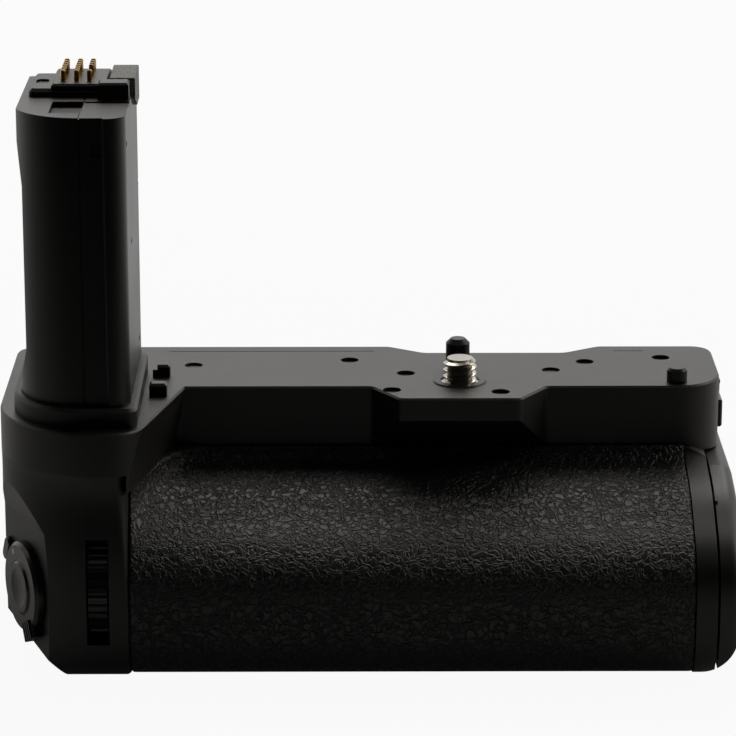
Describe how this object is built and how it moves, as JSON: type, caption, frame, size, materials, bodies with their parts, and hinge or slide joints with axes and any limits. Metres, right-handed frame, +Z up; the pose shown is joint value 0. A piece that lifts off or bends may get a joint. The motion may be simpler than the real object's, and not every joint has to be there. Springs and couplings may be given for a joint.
{
  "type": "camera battery grip",
  "caption": "Battery grip that bolts under a camera: contact stalk, camera screw with thumb wheel, locating pins, portrait shutter button, dials, thumb stick and a slide-out battery magazine.",
  "frame": {"origin": "centre of the base, on the surface that the grip stands on", "axes": "+X towards the magazine's end cap, +Y from the front rubber towards the back of the camera, +Z up along the stalk"},
  "size_m": [0.1383, 0.0631, 0.1104],
  "materials": {
    "shell_plastic": "fine textured black glass-filled plastic",
    "smooth_plastic": "smooth dark plastic",
    "grip_rubber": "leather-grained black rubber",
    "seal_rubber": "plain soft seal rubber",
    "button_plastic": "satin button plastic",
    "dial_plastic": "ribbed dial plastic",
    "index_paint": "white paint fill",
    "insert_plastic": "finely ribbed grey plastic",
    "steel": "bright machined steel",
    "ring_metal": "turned aluminium",
    "dark_screw": "black-oxide screw",
    "gear_brass": "cut brass",
    "gold": "gold plated contact",
    "spring_steel": "spring steel",
    "board": "circuit board",
    "flex_film": "polyimide film",
    "cell_wrap": "battery case"
  },
  "bodies": {
    "grip": {"top_cover": "shell_plastic", "front_housing": "shell_plastic", "rubber_grip": "grip_rubber", "rear_cover": "shell_plastic", "thumb_pad": "grip_rubber", "base_plate": "dark_screw", "tripod_socket": "steel", "base_screws": "dark_screw", "deck_screws": "dark_screw", "rear_screws": "dark_screw", "stalk_left_shell": "shell_plastic", "stalk_right_shell": "shell_plastic", "stalk_head": "smooth_plastic", "head_insert": "insert_plastic", "contact_plate": "smooth_plastic", "stalk_collar": "shell_plastic", "stalk_board": "board", "stalk_flex": "flex_film", "stalk_screws": "dark_screw", "pin_barrels": "gold", "screw_ring": "ring_metal", "wheel_axle": "steel", "gear_bracket": "spring_steel", "locating_pin_large": "steel", "locating_pin_small": "steel", "hook_lugs": "smooth_plastic", "shutter_spring": "spring_steel", "shutter_switch": "smooth_plastic", "dial_encoders": "smooth_plastic", "rear_board": "board", "stick_base": "smooth_plastic", "bay_contacts": "gold", "catch_spring": "spring_steel", "usb_port": "steel", "cover_hinge_pin": "steel", "main_board": "board"},
    "pins": {"contact_pins": "gold"},
    "screw": {"camera_screw": "steel"},
    "wheel": {"attachment_wheel": "gear_brass"},
    "lock_ring": {"shutter_ring": "smooth_plastic", "ring_index": "index_paint"},
    "shutter": {"shutter_button": "button_plastic"},
    "function": {"function_button": "button_plastic"},
    "front_dial": {"front_dial": "dial_plastic", "front_dial_shaft": "steel"},
    "rear_dial": {"rear_dial": "dial_plastic", "rear_dial_shaft": "steel"},
    "upper": {"upper_button": "button_plastic"},
    "lower": {"lower_button": "button_plastic"},
    "gimbal": {"stick_gimbal": "spring_steel"},
    "cradle": {"stick_cradle": "spring_steel"},
    "stick": {"stick_cap": "dial_plastic"},
    "magazine": {"magazine_tray": "smooth_plastic", "tray_contacts": "gold", "battery_packs": "cell_wrap", "end_cap": "shell_plastic", "end_gasket": "seal_rubber"},
    "key": {"latch_key": "smooth_plastic"},
    "port_cover": {"usb_cover": "smooth_plastic"}
  },
  "joints": [
    {"name": "pin_press", "type": "slide", "parent": "grip", "child": "pins", "axis": [0, 0, -1], "range_m": [0, 0.001], "stiffness_N_per_m": 300},
    {"name": "wheel_turn", "type": "hinge", "parent": "grip", "child": "wheel", "pos_m": [0.02511, 0.01822, 0.0442], "axis": [0, 0, 1], "continuous": true},
    {"name": "screw_turn", "type": "hinge", "parent": "grip", "child": "screw", "pos_m": [0.0174, 0.0042, 0.0486], "axis": [0, 0, 1], "continuous": true},
    {"name": "lock_ring_turn", "type": "hinge", "parent": "grip", "child": "lock_ring", "pos_m": [-0.0636, -0.019, 0.0156], "axis": [-0.9063, -0.4226, 0], "range_deg": [0, 40]},
    {"name": "shutter_press", "type": "slide", "parent": "grip", "child": "shutter", "axis": [0.9063, 0.4226, 0], "range_m": [0, 0.001], "stiffness_N_per_m": 300, "deforming": ["shutter_spring"]},
    {"name": "function_press", "type": "slide", "parent": "grip", "child": "function", "axis": [0.9063, 0.4226, 0], "range_m": [0, 0.0006], "stiffness_N_per_m": 300},
    {"name": "front_dial_turn", "type": "hinge", "parent": "grip", "child": "front_dial", "pos_m": [-0.04995, -0.022, 0.0174], "axis": [1, 0, 0], "continuous": true},
    {"name": "rear_dial_turn", "type": "hinge", "parent": "grip", "child": "rear_dial", "pos_m": [-0.0622, 0.0219, 0.028], "axis": [1, 0, 0], "continuous": true},
    {"name": "upper_button_press", "type": "slide", "parent": "grip", "child": "upper", "axis": [0, -1, 0], "range_m": [0, 0.0006], "stiffness_N_per_m": 300},
    {"name": "lower_button_press", "type": "slide", "parent": "grip", "child": "lower", "axis": [0, -1, 0], "range_m": [0, 0.0006], "stiffness_N_per_m": 300},
    {"name": "stick_tilt_up_down", "type": "hinge", "parent": "grip", "child": "gimbal", "pos_m": [-0.0516, 0.0233, 0.0218], "axis": [1, 0, 0], "range_deg": [-8, 8], "stiffness_Nm_per_rad": 0.02},
    {"name": "stick_tilt_left_right", "type": "hinge", "parent": "gimbal", "child": "cradle", "pos_m": [-0.0516, 0.0233, 0.0218], "axis": [0, 0, 1], "range_deg": [-8, 8], "stiffness_Nm_per_rad": 0.02},
    {"name": "stick_press", "type": "slide", "parent": "cradle", "child": "stick", "axis": [0, -1, 0], "range_m": [0, 0.0004], "stiffness_N_per_m": 300},
    {"name": "magazine_slide", "type": "slide", "parent": "grip", "child": "magazine", "axis": [1, 0, 0], "range_m": [0, 0.106], "deforming": ["catch_spring"]},
    {"name": "latch_key_turn", "type": "hinge", "parent": "magazine", "child": "key", "pos_m": [0.0689, 0.0043, 0.0185], "axis": [1, 0, 0], "range_deg": [0, 90]},
    {"name": "port_cover_swing", "type": "hinge", "parent": "grip", "child": "port_cover", "pos_m": [0.0682, 0.0219, 0.0403], "axis": [0, 0, 1], "range_deg": [0, 100]}
  ],
  "couplings": [
    {"joint": "screw_turn", "follows": "wheel_turn", "ratio": -1.8571}
  ]
}
